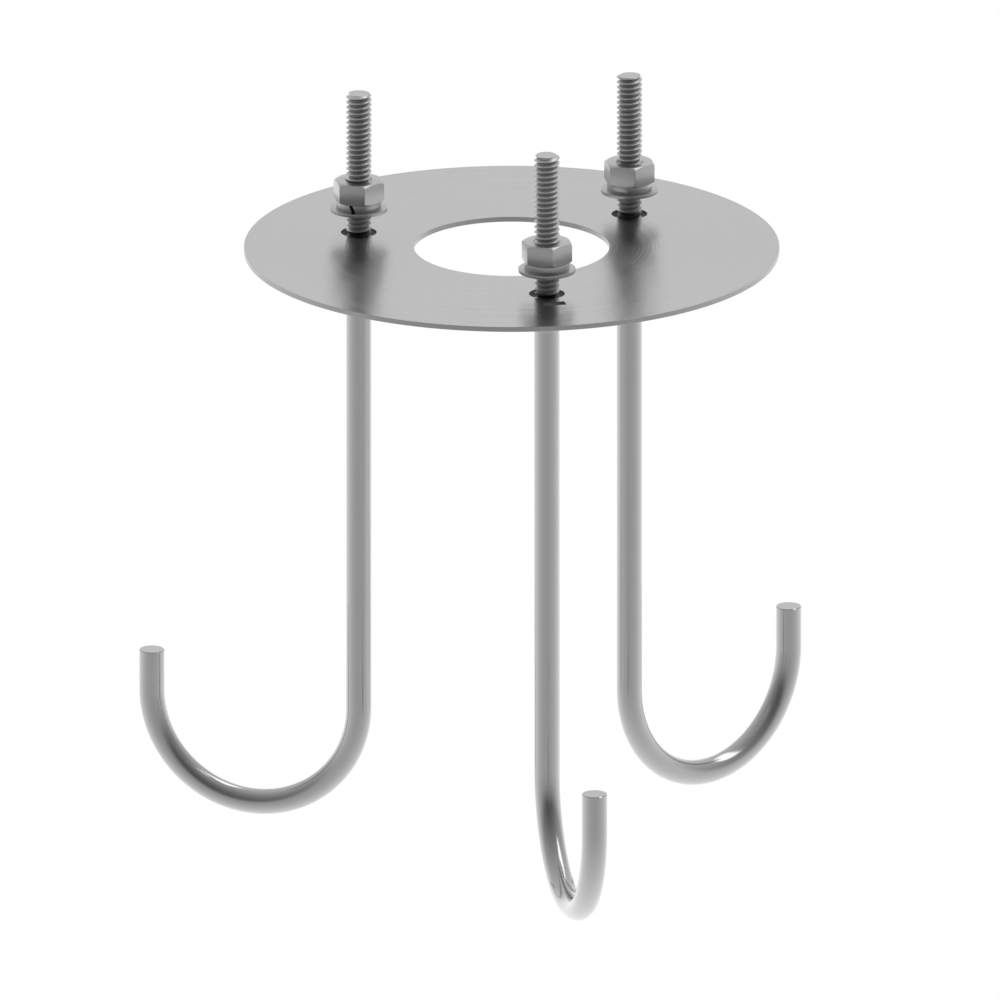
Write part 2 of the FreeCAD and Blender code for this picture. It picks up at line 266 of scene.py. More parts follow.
# %% Floor
FLOOR_HALF = 12.0  # metres from the middle of the floor to its sides
floor_mesh = bpy.data.meshes.new("floor")
corners = np.array([[-1, -1, 0], [1, -1, 0], [1, 1, 0], [-1, 1, 0]]) * FLOOR_HALF
corners[:, 2] = cad_low.z
floor_mesh.from_pydata(corners.tolist(), [], [[0, 1, 2, 3]])
floor = bpy.data.objects.new("floor", floor_mesh)
bpy.context.scene.collection.objects.link(floor)
white = bpy.data.materials.new("white_floor")
white.use_nodes = True
white.node_tree.nodes.clear()
glow = add_node(white.node_tree, "ShaderNodeEmission", {"Strength": 1.0}).outputs[0]
add_node(white.node_tree, "ShaderNodeOutputMaterial", {"Surface": glow})
floor_mesh.materials.append(white)
floor.visible_diffuse = False
floor.visible_glossy = False
floor.visible_shadow = False
print("floor lies at", round(cad_low.z, 4))

# %% [markdown]
# ## From arrays to a closed mesh
#
# A surface here is a grid of points. Its faces follow from counting: each point joins the next
# in its row and the next row. A screw thread needs one twist on this. Its rows climb round the
# rod, so after one turn the last column meets the first one a whole pitch further up.
#
# Several grids make one piece. They are welded where they share points, all faces are turned
# outwards, and the count of open edges shows whether the skin is closed. Each point also keeps
# its place on the piece, as drawn before it was carried out, so that a finish can follow it.

# %% Grid and mesh makers
WELD = 2e-7  # points nearer than this, in metres, become one
CREASE = math.radians(28)  # an edge that turns by more than this stays sharp


def round_axis(radius, angle, height):
    """Points P = (r cos a, r sin a, z) from arrays of r, a and z that fit together."""
    x, y, z = np.broadcast_arrays(radius * np.cos(angle), radius * np.sin(angle), height)
    return np.stack([x, y, z], -1)


def grid_faces(rows, columns, joined=False, climb=0):
    """Corners of a grid's faces, where point (row, column) has number row * columns + column.

    With joined, the last column also joins the first, climb rows further on.
    """
    row, column = np.mgrid[0 : rows - 1, 0 : columns - 1]
    near = row * columns + column
    faces = [np.stack([near, near + 1, near + columns + 1, near + columns], -1).reshape(-1, 4)]
    if joined:
        row = np.arange(rows - 1 - climb)
        last = row * columns + columns - 1
        start = (row + climb) * columns
        faces.append(np.stack([last, start, start + columns, last + columns], -1))
    return np.concatenate(faces)


def fan_faces(count):
    """Triangles from the middle point, number count, to each side of a ring of count points."""
    ring = np.arange(count)
    return np.stack([ring, (ring + 1) % count, np.full(count, count)], -1)


def make_piece(name, parts, direction=None, crease=CREASE):
    """One closed object from parts, each (points, faces) or (points, faces, places).

    points are carried out to a station when it has a direction; places default to points.
    Edges that turn by more than crease stay sharp.
    """
    points = [np.reshape(part[0], (-1, 3)) for part in parts]
    kept = [part[2] if len(part) > 2 else part[0] for part in parts]
    places = np.concatenate([np.reshape(place, (-1, 3)) for place in kept])
    starts = np.cumsum([0] + [len(p) for p in points])
    faces = [face for part, start in zip(parts, starts) for face in (part[1] + start).tolist()]
    points = np.concatenate(points)
    if direction is not None:
        points = carry_out(points, direction)
    mesh = bpy.data.meshes.new(name)
    mesh.from_pydata(points, [], faces)
    place = mesh.attributes.new("place", "FLOAT_VECTOR", "POINT")
    place.data.foreach_set("vector", places.astype(np.float32).ravel())
    skin = bmesh.new()
    skin.from_mesh(mesh)
    bmesh.ops.remove_doubles(skin, verts=skin.verts, dist=WELD)
    bmesh.ops.dissolve_degenerate(skin, edges=skin.edges, dist=WELD)
    bmesh.ops.recalc_face_normals(skin, faces=skin.faces)
    opened = sum(not edge.is_manifold for edge in skin.edges)
    volume = skin.calc_volume() / MM**3
    skin.to_mesh(mesh)
    skin.free()
    mesh.shade_smooth()
    if crease:
        mesh.set_sharp_from_angle(angle=crease)
    piece = bpy.data.objects.new(name, mesh)
    bpy.context.scene.collection.objects.link(piece)
    print(f"{name}: {len(mesh.polygons)} faces, {volume:.0f} cubic mm, {opened} open edges")
    return piece


def claim(piece, body, node, material):
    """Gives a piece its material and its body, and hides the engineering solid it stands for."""
    piece.data.materials.append(material)
    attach(piece, body)
    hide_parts(node)


# %% [markdown]
# ## Steel that has been worked
#
# Every piece is stainless steel, and each way of working leaves its own marks: sheet is brushed,
# rod is drawn through a die, threads are rolled, nuts and washers are turned or stamped. All of
# these are fine lines that run along one direction, with the wider clouds that handling leaves.
# One group makes both from a place on the piece. Its stretch says how quickly the lines change
# along each direction: fast across them and slowly along them.

# %% Group: worked steel
group, given, made = new_group(
    "worked_steel",
    {
        "Place": (VECTOR, None),
        "Stretch": (VECTOR, (1.0, 1.0, 1.0)),
        "Tone": (COLOUR, (0.5, 0.5, 0.5, 1.0)),
        "Tone Swing": (FLOAT, 0.05),
        "Roughness": (FLOAT, 0.2),
        "Roughness Swing": (FLOAT, 0.05),
        "Clouding": (FLOAT, 0.03),
    },
    {"Color": (COLOUR, None), "Roughness": (FLOAT, None), "Height": (FLOAT, None)},
)
CLOUD_SCALE = 90.0  # per metre, which makes clouds about a centimetre wide
stretched = vector_node(group, "MULTIPLY", given["Place"], given["Stretch"])
lines = add_node(
    group,
    "ShaderNodeTexNoise",
    {"Vector": stretched, "Scale": 1.0, "Detail": 4.0, "Roughness": 0.65},
).outputs["Fac"]
clouds = add_node(
    group,
    "ShaderNodeTexNoise",
    {"Vector": given["Place"], "Scale": CLOUD_SCALE, "Detail": 3.0, "Roughness": 0.5},
).outputs["Fac"]
line_swing = sum_node(group, "SUBTRACT", lines, 0.5)
cloud_swing = sum_node(group, "SUBTRACT", clouds, 0.5)
factor = sum_node(group, "MULTIPLY_ADD", line_swing, given["Tone Swing"], 1.0)
factor = sum_node(group, "MULTIPLY_ADD", cloud_swing, given["Clouding"], factor)
tone = vector_node(group, "SCALE", given["Tone"])
group.links.new(factor, tone.node.inputs["Scale"])
group.links.new(tone, made["Color"])
rough = sum_node(group, "MULTIPLY_ADD", line_swing, given["Roughness Swing"], given["Roughness"])
rough = sum_node(group, "MULTIPLY_ADD", cloud_swing, given["Roughness Swing"], rough)
group.links.new(rough, made["Roughness"])
group.links.new(lines, made["Height"])
worked_steel = group
print("worked_steel nodes:", len(group.nodes))

# %% [markdown]
# ## Lines that run in circles
#
# The ring is brushed while it spins, so its lines are circles about the middle, and a washer or
# the end of a nut is marked the same way. The second group turns a place into one whose first
# number is the distance from the axis. Stretching that number strongly gives circles, and the
# other two numbers stay as they are, so the lines come and go along the way round and there is
# no seam.

# %% Group: circular place
place_only = {"Place": (VECTOR, None)}
group, given, made = new_group("circular_place", place_only, place_only)
apart, distance = from_axis(group, given["Place"])
circular = add_node(group, "ShaderNodeCombineXYZ", {0: distance, 1: apart["X"], 2: apart["Y"]})
group.links.new(circular.outputs[0], made["Place"])
circular_place = group
print("circular_place nodes:", len(group.nodes))

# %% [markdown]
# ## Painted shade in the thread roots
#
# Rolling polishes the crests of a thread, while its roots stay dull. The third group paints shade
# into the roots, where the flanks hide the room: it darkens a finish, and roughens it a little,
# from a radius high on the flanks down to the root's. The end face above the thread stays as it
# is, and a band of painted shade lies where the thread passes through the ring, whose hole is
# dark inside.

# %% Group: root shade
# The roots' darkening is painted shade, where the flanks hide the room from the root.
ROOT_SHADE_TONE = 0.45  # share of its tone that a finish keeps at the root
ROOT_ROUGHER = 0.1  # what the root adds to the roughness
# A band of painted shade on the stud, where it passes through the ring's dark hole.
GAP_HEIGHT = 0.1 * MM  # middle of the dark band, above the ring's top
GAP_REACH = (0.7 * MM, 1.4 * MM)  # from the band's middle to where its fading starts and ends
GAP_SHADE_TONE = 0.15  # share of its tone that a finish keeps in the band
group, given, made = new_group(
    "root_shade",
    {
        "Place": (VECTOR, None),
        "Color": (COLOUR, None),
        "Roughness": (FLOAT, 0.2),
        "Root": (FLOAT, 0.0),
        "Crest": (FLOAT, 1.0),
        "Top": (FLOAT, 1.0),
    },
    {"Color": (COLOUR, None), "Roughness": (FLOAT, None)},
)
apart, distance = from_axis(group, given["Place"])
# Painted shade: the tone falls from a radius high on the flanks down to the root.
share = soft_step(group, distance, given["Root"], given["Crest"])
on_end = sum_node(group, "GREATER_THAN", apart["Z"], given["Top"])
share = sum_node(group, "MAXIMUM", share, on_end)
bright = sum_node(group, "MULTIPLY_ADD", share, 1.0 - ROOT_SHADE_TONE, ROOT_SHADE_TONE)
# Painted shade: the band darkens the tone near the ring's top, inside and just above its hole.
from_gap = sum_node(group, "ABSOLUTE", sum_node(group, "SUBTRACT", apart["Z"], GAP_HEIGHT))
open_air = soft_step(group, from_gap, *GAP_REACH, before=GAP_SHADE_TONE)
bright = sum_node(group, "MULTIPLY", bright, open_air)
shaded = vector_node(group, "SCALE", given["Color"])
group.links.new(bright, shaded.node.inputs["Scale"])
group.links.new(shaded, made["Color"])
rough = sum_node(group, "MULTIPLY_ADD", share, -ROOT_ROUGHER, given["Roughness"])
rough = sum_node(group, "ADD", rough, ROOT_ROUGHER)
group.links.new(rough, made["Roughness"])
root_shade = group
print("root_shade nodes:", len(group.nodes))

# %% [markdown]
# ## Seven finishes
#
# Each finish is a metal shader with the worked steel group in front of it. What differs is the
# tone, how sharply it mirrors, which way its lines run and how deep they are. Rods mirror the
# room most sharply and the ring's brushed lines smear it. Washers and nuts are duller, and rolled
# threads are the dullest. The walls of the small slot get a dark tone that paints the shade
# inside the slot.

# %% Finish maker
SWING = (0.06, 0.05)  # how far the marks vary the tone and the roughness
# Radii where the roots' shade is full and where it is gone, and the height above which is none.
THREAD_SHADE = (3.75 * MM, 4.45 * MM, 56.2 * MM)


def make_steel(
    name, tone, roughness, stretch, bump, circles=False, whole=False, swing=SWING, roots=None
):
    """A worked steel finish; tone is a grey, bump the lines' depth in metres.

    With circles the lines run round the axis; with whole, places are the object's own coordinates
    instead of those kept on the piece; roots are what THREAD_SHADE holds.
    """
    material = bpy.data.materials.new(name)
    material.use_nodes = True
    tree = material.node_tree
    tree.nodes.clear()
    if whole:
        place = tree.nodes.new("ShaderNodeTexCoord").outputs["Object"]
    else:
        place = add_node(tree, "ShaderNodeAttribute", attribute_name="place").outputs["Vector"]
    if circles:
        turned = add_node(tree, "ShaderNodeGroup", {}, node_tree=circular_place)
        tree.links.new(place, turned.inputs["Place"])
        place = turned.outputs["Place"]
    finish = add_node(tree, "ShaderNodeGroup", {}, node_tree=worked_steel)
    tree.links.new(place, finish.inputs["Place"])
    finish.inputs["Stretch"].default_value = stretch
    finish.inputs["Tone"].default_value = (tone, tone, tone, 1.0)
    finish.inputs["Tone Swing"].default_value = swing[0]
    finish.inputs["Roughness"].default_value = roughness
    finish.inputs["Roughness Swing"].default_value = swing[1]
    colour, rough = finish.outputs["Color"], finish.outputs["Roughness"]
    if roots:
        shade = add_node(tree, "ShaderNodeGroup", {}, node_tree=root_shade)
        for socket, value in zip(("Root", "Crest", "Top"), roots):
            shade.inputs[socket].default_value = value
        for socket, value in (("Place", place), ("Color", colour), ("Roughness", rough)):
            tree.links.new(value, shade.inputs[socket])
        colour, rough = shade.outputs["Color"], shade.outputs["Roughness"]
    height = {"Strength": 1.0, "Distance": bump, "Height": finish.outputs["Height"]}
    relief = add_node(tree, "ShaderNodeBump", height).outputs["Normal"]
    metal = {"Base Color": colour, "Roughness": rough, "Normal": relief, "Metallic": 1.0}
    shader = add_node(tree, "ShaderNodeBsdfPrincipled", metal)
    add_node(tree, "ShaderNodeOutputMaterial", {"Surface": shader.outputs[0]})
    return material


ring_steel = make_steel("ring_steel", 0.52, 0.2, (1200, 4, 4), 1e-4, circles=True, whole=True)
edge_steel = make_steel("edge_steel", 0.4, 0.3, (60, 60, 1500), 2e-6, whole=True)
# Its dark tone paints the shade inside the small slot onto the slot's walls.
slot_shade_steel = make_steel("slot_shade_steel", 0.15, 0.4, (60, 60, 1500), 2e-6, whole=True)
rod_steel = make_steel("rod_steel", 0.53, 0.15, (1200, 1200, 12), 2e-8, swing=(0.02, 0.02))
thread_steel = make_steel("thread_steel", 0.6, 0.42, (400, 400, 2500), 4e-7, roots=THREAD_SHADE)
nut_steel = make_steel("nut_steel", 0.54, 0.34, (300, 300, 900), 2e-6)
washer_steel = make_steel("washer_steel", 0.48, 0.3, (1500, 60, 60), 1e-6, circles=True)
print("finishes:", [m.name for m in bpy.data.materials if m.name.endswith("steel")])

# %% [markdown]
# ## The ring
#
# The ring is a flat sheet with a large cable hole, three bolt holes and one small slot. Its flat
# face is made in patches: a patch lies between a hole's outline and an outer outline, and each
# of its points is a share of the way from one to the other, counted in angle and distance from
# the middle, so that the patch bends with the ring. A narrow patch goes round each bolt hole and
# round the slot, and plain patches in even steps fill the rest. The walls join top and bottom, and
# a small bevel takes the sharpness off every edge, as deburring does.

# %% Ring measures
ring_low, ring_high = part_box("ring_plate")
RING_RADIUS = ring_high.x
RING_THICKNESS = ring_high.z - ring_low.z
CABLE_HOLE = mounts["cable_hole"]["dims"]["r_mm"] * MM
BOLT_HOLE = 7.0 * MM  # radius
SLOT_STATION = "front"  # the slot lies further out than this station's bolt hole
SLOT_REACH = 76.2 * MM  # its middle, from the middle of the ring
SLOT_HALF_LENGTH, SLOT_HALF_WIDTH = 4.25 * MM, 2.1 * MM
PATCH_SPLIT = 71.9 * MM  # radius where the inner patches meet the outer ones
THIRD = 120  # angles round the ring are in whole degrees, one step of the mesh each
HOLE_SECTOR, SLOT_SECTOR = 14, 6  # half angles of the patches round a bolt hole and the slot
SIDE_POINTS = 12  # steps of the mesh from a patch's inner radius to its outer one


def four_runs(steps, low, high):
    """A box's outline: steps along one side and the opposite one, SIDE_POINTS along the others."""
    arc = np.linspace(0, 1, steps, endpoint=False)
    run = np.linspace(0, 1, SIDE_POINTS, endpoint=False)
    along = np.concatenate([arc, np.ones(SIDE_POINTS), 1 - arc, np.zeros(SIDE_POINTS)])
    inwards = np.concatenate([np.zeros(steps), run, np.ones(steps), 1 - run])
    return low[0] + (high[0] - low[0]) * along, low[1] + (high[1] - low[1]) * inwards


def sector_outline(half, inner, outer):
    """Outline of a sector about +X, as angles and radii: out on one arc, back on the other."""
    edge = math.radians(half)
    return np.stack(four_runs(2 * half, (-edge, outer), (edge, inner)), -1)


def slot_outline():
    """The slot's rectangle, with as many points on each side as its sector's outline has."""
    low, high = (-SLOT_HALF_LENGTH, SLOT_HALF_WIDTH), (SLOT_HALF_LENGTH, -SLOT_HALF_WIDTH)
    y, x = four_runs(2 * SLOT_SECTOR, low, high)
    return np.stack([np.arctan2(y, x + SLOT_REACH), np.hypot(x + SLOT_REACH, y)], -1)


def hole_outline():
    """The bolt hole's circle in even steps, starting where its sector's outline starts."""
    count = 2 * (2 * HOLE_SECTOR + SIDE_POINTS)
    turn = 2 * math.pi * (np.arange(count) - HOLE_SECTOR) / count
    x, y = STATION_REACH + BOLT_HOLE * np.cos(turn), BOLT_HOLE * np.sin(turn)
    return np.stack([np.arctan2(y, x), np.hypot(x, y)], -1)


print("ring radius and thickness:", round(RING_RADIUS, 4), round(RING_THICKNESS, 4))

# %% Ring patches
PATCH_ROWS = 7  # rows of points from a hole's outline to its sector's


def both_faces(angle, radius, joined):
    """The ring's top and bottom over a grid of angles and radii."""
    top = round_axis(radius, angle, 0)
    faces = grid_faces(*angle.shape, joined=joined)
    return [(top, faces), (top - [0, 0, RING_THICKNESS], faces)]


def holed_patch(hole, outline, direction):
    """Faces and wall round a hole: (1 - v) hole(u) + v outline(u), in angle and radius."""
    share = np.linspace(0, 1, PATCH_ROWS)[:, None, None]
    angle, radius = np.moveaxis((1 - share) * hole + share * outline, -1, 0)
    sheets = both_faces(angle + direction, radius, True)
    wall = np.stack([sheets[0][0][0], sheets[1][0][0]])
    return [*sheets, (wall, grid_faces(2, len(hole), joined=True))]


def plain_patch(start, end, inner, outer, direction):
    """Faces between two angles and two radii, both in even steps."""
    angle = np.radians(np.arange(start, end + 1)) + direction
    radius = np.linspace(inner, outer, SIDE_POINTS + 1)
    return both_faces(*np.meshgrid(angle, radius), False)


def rim_wall(radius, direction):
    """Upright wall over a third of the ring at one radius."""
    angle = np.radians(np.arange(THIRD + 1)) + direction
    edge = round_axis(radius, angle, 0)
    return np.stack([edge, edge - [0, 0, RING_THICKNESS]]), grid_faces(2, THIRD + 1)


inner, outer = (CABLE_HOLE, PATCH_SPLIT), (PATCH_SPLIT, RING_RADIUS)
ring_parts = []
for name, direction in STATIONS.items():
    ring_parts += holed_patch(hole_outline(), sector_outline(HOLE_SECTOR, *inner), direction)
    ring_parts += plain_patch(HOLE_SECTOR, THIRD - HOLE_SECTOR, *inner, direction)
    ring_parts += plain_patch(SLOT_SECTOR, THIRD - SLOT_SECTOR, *outer, direction)
    if name == SLOT_STATION:
        ring_parts += holed_patch(slot_outline(), sector_outline(SLOT_SECTOR, *outer), direction)
    else:
        ring_parts += plain_patch(-SLOT_SECTOR, SLOT_SECTOR, *outer, direction)
    ring_parts += [rim_wall(CABLE_HOLE, direction), rim_wall(RING_RADIUS, direction)]
print("ring parts:", len(ring_parts))

# %% Ring piece
DEBURR = 0.12 * MM  # width of the bevel
UPRIGHT = 0.5  # a face whose normal rises less than this belongs to a cut edge

ring = make_piece("brushed_ring", ring_parts, crease=None)
claim(ring, "plate", "ring_plate", ring_steel)
ring.data.materials.append(edge_steel)
ring.data.materials.append(slot_shade_steel)
normals, middles = np.empty((2, len(ring.data.polygons), 3), np.float32)
ring.data.polygons.foreach_get("normal", normals.ravel())
ring.data.polygons.foreach_get("center", middles.ravel())
reach = np.hypot(middles[:, 0], middles[:, 1])
upright = np.abs(normals[:, 2]) < UPRIGHT
# The slot's walls get the dark finish that paints the shade inside the slot.
in_slot = upright & (reach > PATCH_SPLIT) & (reach < RING_RADIUS - SLOT_HALF_LENGTH)
ring.data.polygons.foreach_set("material_index", upright.astype(np.int32) + in_slot)
print("slot wall faces:", int(in_slot.sum()))
deburr = ring.modifiers.new("deburr", "BEVEL")
deburr.width = DEBURR
deburr.segments = 2
deburr.limit_method = "ANGLE"
deburr.harden_normals = True

# %% [markdown]
# ## The screw thread
#
# A thread is one ridge that climbs round the rod. Here a row of points follows the ridge all the
# way round, so every edge of the thread is a clean line of the mesh: the height of a point is
# its row's height plus the share of a pitch for its angle, and its distance from the axis
# depends on its row, apart from the fade and the chamfers at the ends. Heights past an end are
# brought back to it, which cuts the thread off square; the points that fall together there are
# welded. The ridge has a narrow crest with rounded shoulders, straight flanks and a nearly flat
# root, as a rolled thread has.

# %% Thread surface
PITCH = 2.1 * MM
RIDGE_HEIGHT = 0.89 * MM  # height of one crest in the first direction, above the ring's top
TURN_POINTS = 96  # points round the rod
SPARE_TURNS = 2  # turns of the grid past each end

# Places across the ridge from its middle, and how far each lies below the crest.
RIDGE_ACROSS = np.array([0, 0.09, 0.17, 0.27, 0.45, 0.62, 0.78, 0.88]) * MM
RIDGE_BELOW = np.array([0, 0.01, 0.09, 0.24, 0.55, 0.85, 1.13, 1.22]) * MM
ROOT_BELOW = 1.25 * MM  # the same for the middle of the root


def screw_rows(across, low, high):
    """Row heights at angle zero, from low to high with SPARE_TURNS more at each end."""
    first = math.floor((low - RIDGE_HEIGHT) / PITCH) - SPARE_TURNS
    last = math.ceil((high - RIDGE_HEIGHT) / PITCH) + SPARE_TURNS
    turns = np.arange(first, last)[:, None] * PITCH + RIDGE_HEIGHT
    return (turns + across).ravel()


def full_turn(across):
    """The places across one whole pitch: both sides of the ridge and the middle of the root."""
    return np.concatenate([across, [PITCH / 2], PITCH - across[:0:-1]])


def screw_grid(across, radius_of, low, high, angle=None):
    """A climbing surface z = row + pitch * angle / turn, kept from low to high; r = radius_of."""
    if angle is None:
        angle = np.linspace(0, 2 * math.pi, TURN_POINTS, endpoint=False)
    rows = screw_rows(across, low, high)[:, None]
    climbed = PITCH * angle / (2 * math.pi)
    z = np.clip(rows + climbed, low, high)
    phase = np.abs((z - RIDGE_HEIGHT - climbed + PITCH / 2) % PITCH - PITCH / 2)
    points = round_axis(radius_of(phase, z), angle, z)
    return points, grid_faces(len(rows), points.shape[1], joined=True, climb=len(across))


print("rows to a pitch:", len(full_turn(RIDGE_ACROSS)))

# %% [markdown]
# ## The hook rod
#
# Below its thread the rod is a circle carried along a path: straight down, round half a turn and
# a short way up again. The circle stays square to the path, so the bend keeps its thickness. The
# stud's end is chamfered, the hook's end is cut off flat with its edge just broken, and the
# thread fades into the shank over its last turn.

# %% Hook rod measures
STUD_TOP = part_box("hook_bolt_front")[1].z
STUD_CHAMFER = 0.7 * MM  # at 45 degrees
THREAD_FADE = (-13.6 * MM, -11.6 * MM)  # heights between which the thread comes up to full depth
SHANK_TOP = -16 * MM  # where the screw grid ends and the carried circle starts
BEND_HEIGHT, BEND_RADIUS = -195.5 * MM, 42.5 * MM
TIP_LENGTH, TIP_BREAK = 16 * MM, 0.3 * MM  # the straight end, and its broken edge
SHANK_ROWS, BEND_ROWS, TIP_ROWS = 40, 96, 6


def stud_radius(phase, z):
    """Radius of the stud: crest radius less the ridge's fall, faded in and chamfered at the top."""
    below = np.interp(phase, np.append(RIDGE_ACROSS, PITCH / 2), np.append(RIDGE_BELOW, ROOT_BELOW))
    fade = np.clip((z - THREAD_FADE[0]) / (THREAD_FADE[1] - THREAD_FADE[0]), 0, 1)
    radius = ROD_RADIUS - below * fade**2 * (3 - 2 * fade)
    return np.minimum(radius, ROD_RADIUS - STUD_CHAMFER + STUD_TOP - z)


def rod_path():
    """Length along the rod, centre and angle turned so far of each circle below the thread."""
    shank = np.linspace(SHANK_TOP, BEND_HEIGHT, SHANK_ROWS, endpoint=False)
    bend = np.linspace(0, math.pi, BEND_ROWS, endpoint=False)
    tip = np.linspace(0, TIP_LENGTH - TIP_BREAK, TIP_ROWS)
    turned = np.concatenate([np.zeros(SHANK_ROWS), bend, np.full(TIP_ROWS, math.pi)])
    drop = np.concatenate([shank - BEND_HEIGHT, np.zeros(BEND_ROWS), tip])
    centre_x = BEND_RADIUS * (1 - np.cos(turned))
    centre_z = BEND_HEIGHT - BEND_RADIUS * np.sin(turned) + drop
    step = np.hypot(np.diff(centre_x), np.diff(centre_z))
    length = np.concatenate([[0], np.cumsum(step)])
    return length, centre_x, centre_z, turned


# %% Hook rod pieces
def hook_rod(name, direction):
    """Screw grid, circle carried as P = centre + r (cos a outward + sin a sideways), and ends."""
    across = full_turn(RIDGE_ACROSS)
    thread, thread_faces = screw_grid(across, stud_radius, SHANK_TOP, STUD_TOP)
    angle = np.linspace(0, 2 * math.pi, TURN_POINTS, endpoint=False)
    path = [np.append(value, value[-1])[:, None] for value in rod_path()]
    length, centre_x, centre_z, turned = path
    centre_z[-1] += TIP_BREAK
    radius = np.full_like(length, ROD_RADIUS)
    radius[-1] -= TIP_BREAK
    outward = radius * np.cos(angle)
    x = centre_x + outward * np.cos(turned)
    z = centre_z + outward * np.sin(turned)
    tube = np.stack([x, np.broadcast_to(radius * np.sin(angle), x.shape), z], -1)
    along = np.broadcast_to(SHANK_TOP - length, x.shape)
    places = np.stack([outward, radius * np.sin(angle), along], -1)
    tube_faces = grid_faces(len(length), TURN_POINTS, joined=True)
    stud_end = np.vstack([thread[-1], [[0, 0, STUD_TOP]]])
    tip_end = np.vstack([tube[-1], [[2 * BEND_RADIUS, 0, centre_z[-1, 0]]]])
    tip_places = np.vstack([places[-1], [[0, 0, along[-1, 0]]]])
    parts = [(thread, thread_faces), (tube, tube_faces, places)]
    parts += [(stud_end, fan_faces(TURN_POINTS)), (tip_end, fan_faces(TURN_POINTS), tip_places)]
    return make_piece(f"hook_rod_{name}", parts, direction)


THREADED = -15 * MM  # faces above this height get the thread's finish
for name, direction in STATIONS.items():
    rod = hook_rod(name, direction)
    claim(rod, f"hook_{name}", f"hook_bolt_{name}", rod_steel)
    rod.data.materials.append(thread_steel)
    centres = np.empty((len(rod.data.polygons), 3), np.float32)
    rod.data.polygons.foreach_get("center", centres.ravel())
    rod.data.polygons.foreach_set("material_index", (centres[:, 2] > THREADED).astype(np.int32))

# %% [markdown]
# ## The nuts
#
# A hex nut is turned from a six-sided bar: a cone cuts its corners back at both ends, and where
# the cone meets a flat it leaves the curve every nut shows. Going round the nut, the distance of
# its side from the axis is known for each angle, and the cone's height follows from that
# distance. So the outside is a grid of angle against a few rows, whose heights change with the
# angle. The bore has the rod's thread with a little play, and a countersink at each end.

# %% Nut outline
HALF_FLATS = 9.0 * MM  # from the axis to a flat
NUT_CORNER = 0.25 * MM  # radius that rounds the upright corners
NUT_TURNED = 8.87 * MM  # radius of the flat end inside the cone
NUT_CONE = math.radians(30)  # the cone's slope against the flat end
NUT_SOFT = 0.06 * MM  # how far the rounding of an edge reaches
SINK_RADIUS = 5.4 * MM  # of the countersink at each end, which slopes at 45 degrees
SIDES, SIDE_STEPS, CORNER_STEPS = 6, 14, 4
HALF_SIDE = math.pi / SIDES  # angle from the middle of a flat to its corner


def hex_outline():
    """Angle and radius of a rounded hexagon: r = HALF_FLATS / cos(a) on flats, arcs at corners."""
    reach = (HALF_FLATS - NUT_CORNER) / math.cos(HALF_SIDE)
    touch = math.atan2(reach * math.sin(HALF_SIDE), HALF_FLATS)
    flat = np.linspace(-touch, touch, SIDE_STEPS)
    corner = np.linspace(touch, 2 * HALF_SIDE - touch, CORNER_STEPS + 2)[1:-1]
    off = corner - HALF_SIDE
    arc = reach * np.cos(off) + np.sqrt(NUT_CORNER**2 - (reach * np.sin(off)) ** 2)
    angle = np.concatenate([flat, corner])
    radius = np.concatenate([HALF_FLATS / np.cos(flat), arc])
    sides = (2 * np.arange(SIDES)[:, None] + 1) * HALF_SIDE
    return (angle + sides).ravel(), np.tile(radius, SIDES)


def end_rows(radius):
    """Rows (r, z below the end) from the flat end over the cone to the side.

    Each edge has three rows, at NUT_SOFT before it, on it and at NUT_SOFT after it. The one on
    it is moved into the steel by the small shares below, which rounds it.
    """
    cone = NUT_SOFT * math.cos(NUT_CONE), NUT_SOFT * math.sin(NUT_CONE)
    drop = (radius - NUT_TURNED) * math.tan(NUT_CONE)
    same = np.ones_like(radius)
    rows = [
        ((NUT_TURNED - NUT_SOFT) * same, 0 * same),
        (NUT_TURNED * same, NUT_SOFT / 8 * same),
        ((NUT_TURNED + cone[0]) * same, cone[1] * same),
        (radius - cone[0], drop - cone[1]),
        (radius - cone[0] / 4, drop + cone[1] / 2),
        (radius, drop + NUT_SOFT),
    ]
    return np.array([r for r, _ in rows]), np.array([z for _, z in rows])


nut_angle, nut_radius = hex_outline()
print("nut corner radius:", round(nut_radius.max() / MM, 2), "mm, points round:", len(nut_angle))

# %% Nut pieces
# The bore's groove: places across it from its middle, and their distances from the axis.
NUT_RIDGE_ACROSS = np.array([0, 0.154, 0.3, 0.46, 0.62, 0.777, 0.9]) * MM
NUT_RIDGE_OUT = np.array([5.08, 5.08, 4.83, 4.55, 4.27, 4.0, 4.0]) * MM


def hex_nut(name, node, direction):
    """A nut: outside rows, then the bore's screw grid with r = max(thread, both countersinks)."""
    low, high = (corner.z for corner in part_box(node))

    def bore_radius(phase, z):
        thread = np.interp(phase, NUT_RIDGE_ACROSS, NUT_RIDGE_OUT)
        return np.maximum(thread, np.maximum(SINK_RADIUS - (high - z), SINK_RADIUS - (z - low)))

    radius, drop = end_rows(nut_radius)
    sink = np.full((1, len(nut_angle)), SINK_RADIUS)
    radius = np.concatenate([sink, radius, radius[::-1], sink])
    z = np.concatenate([0 * sink + high, high - drop, low + drop[::-1], 0 * sink + low])
    outside = round_axis(radius, nut_angle, z)
    faces = grid_faces(*radius.shape, joined=True)
    across = full_turn(NUT_RIDGE_ACROSS)
    bore, bore_faces = screw_grid(across, bore_radius, low, high, nut_angle)
    return make_piece(name, [(outside, faces), (bore, bore_faces)], direction)


